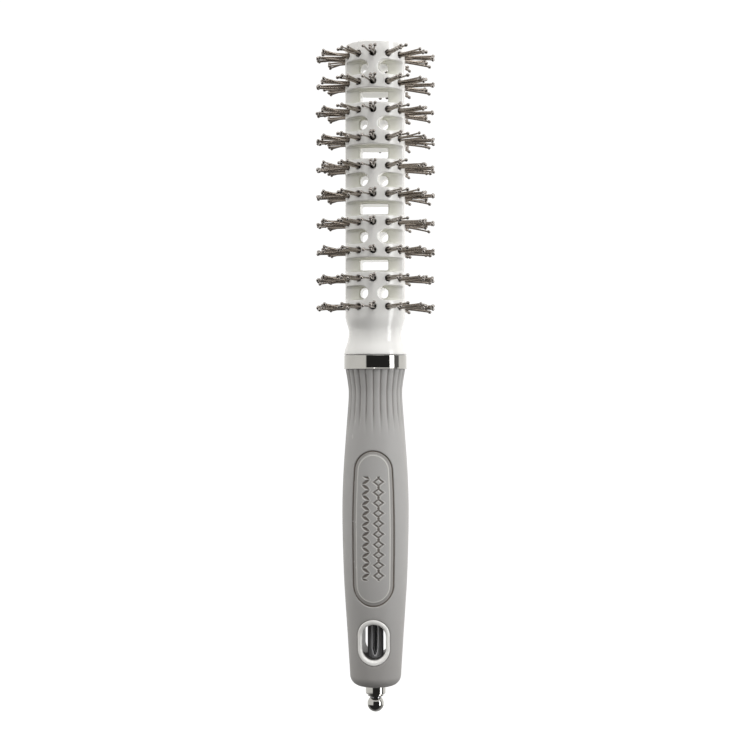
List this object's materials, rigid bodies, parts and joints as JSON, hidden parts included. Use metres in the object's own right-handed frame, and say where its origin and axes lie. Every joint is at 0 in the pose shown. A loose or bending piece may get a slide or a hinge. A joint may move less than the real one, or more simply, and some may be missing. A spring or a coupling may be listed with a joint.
{
  "type": "vented round hair brush",
  "caption": "Round barrel hair brush with rows of ball-tipped bristle tufts, a vented barrel, a soft-touch grip and a sectioning pick that slides out of the handle.",
  "frame": {"origin": "on the brush's axis at the widest place of the grip, where the hand closes", "axes": "+Z along the brush from the handle to the barrel, -Y out of the front, the side with the badge"},
  "size_m": [0.0432, 0.0432, 0.2424],
  "materials": {
    "white_plastic": "glossy white moulded plastic with a ceramic-like coat",
    "soft_touch": "matte warm grey soft-touch skin",
    "bristle_nylon": "satin bronze-brown nylon",
    "chrome": "polished chrome plating",
    "dark_chrome": "polished dark chrome plating",
    "spring_steel": "plain spring steel"
  },
  "bodies": {
    "brush": {"barrel": "white_plastic", "barrel_end_cap": "white_plastic", "tuft_row_01": "bristle_nylon", "tuft_row_02": "bristle_nylon", "tuft_row_03": "bristle_nylon", "tuft_row_04": "bristle_nylon", "tuft_row_05": "bristle_nylon", "tuft_row_06": "bristle_nylon", "tuft_row_07": "bristle_nylon", "tuft_row_08": "bristle_nylon", "tuft_row_09": "bristle_nylon", "tuft_row_10": "bristle_nylon", "neck_band": "chrome", "grip_sleeve": "soft_touch", "handle_core": "white_plastic", "pick_guide_sleeve": "dark_chrome", "pick_collar": "chrome"},
    "pick_clip": {"pick_stop_clip": "spring_steel"},
    "pick": {"pick_rod": "dark_chrome", "pick_ball": "chrome"}
  },
  "joints": [
    {"name": "pick_slide", "type": "slide", "parent": "brush", "child": "pick_clip", "axis": [0, 0, -1], "range_m": [0, 0.05]},
    {"name": "pick_twist", "type": "hinge", "parent": "pick_clip", "child": "pick", "pos_m": [0, 0, -0.0678], "axis": [0, 0, 1], "continuous": true}
  ]
}
